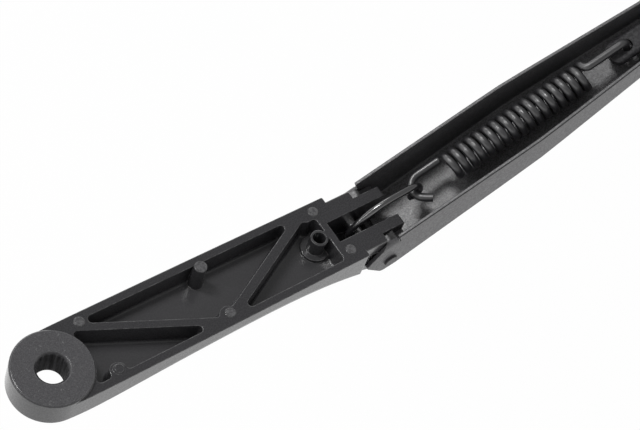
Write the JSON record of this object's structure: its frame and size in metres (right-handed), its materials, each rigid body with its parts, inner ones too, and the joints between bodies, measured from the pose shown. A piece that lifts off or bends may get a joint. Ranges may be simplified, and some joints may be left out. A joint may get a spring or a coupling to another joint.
{
  "type": "wiper arm",
  "caption": "Windscreen wiper arm: ribbed cast head with a spindle bore, hinged folded-sheet channel with a tension spring and link inside, and a flat rod ending in a blade hook.",
  "frame": {"origin": "on the spindle bore's axis, in the plane of the head casting's rim", "axes": "+X along the head towards the blade, +Z along the bore out of the underside (the side that faces the screen, shown up in the picture), +Y by the right-hand rule"},
  "size_m": [0.4696, 0.0282, 0.1655],
  "materials": {
    "cast_black": "satin black powder coat on a die casting",
    "bush_plastic": "plain moulded",
    "pin_steel": "plated",
    "sheet_black": "satin black paint",
    "rivet_black": "satin black paint",
    "rod_black": "satin black paint",
    "spring_steel": "black coated spring wire",
    "link_black": "gloss black coat"
  },
  "bodies": {
    "head": {"head_casting": "cast_black", "hinge_bush_left": "bush_plastic", "hinge_bush_right": "bush_plastic", "anchor_pin": "pin_steel"},
    "arm": {"channel": "sheet_black", "hinge_rivet": "rivet_black", "arm_rod": "rod_black"},
    "link": {"spring_link": "link_black"},
    "spring": {"tension_spring": "spring_steel"}
  },
  "joints": [
    {"name": "arm_hinge", "type": "hinge", "parent": "head", "child": "arm", "pos_m": [0.1326, 0, -0.0146], "axis": [0, 1, 0], "range_deg": [0, 70], "stiffness_Nm_per_rad": 0.5, "springref_deg": -160.43, "deforming": ["tension_spring"]},
    {"name": "link_pivot", "type": "hinge", "parent": "head", "child": "link", "pos_m": [0.12445, 0, -0.00831], "axis": [0, 1, 0], "range_deg": [0, 65.5]},
    {"name": "spring_shift", "type": "slide", "parent": "arm", "child": "spring", "axis": [-0.1446, 0, -0.9895], "range_m": [0, 0.01005]}
  ],
  "couplings": [
    {"joint": "link_pivot", "follows": "arm_hinge", "ratio": 0.9283},
    {"joint": "spring_shift", "follows": "arm_hinge", "m_per_rad": 0.008151}
  ]
}
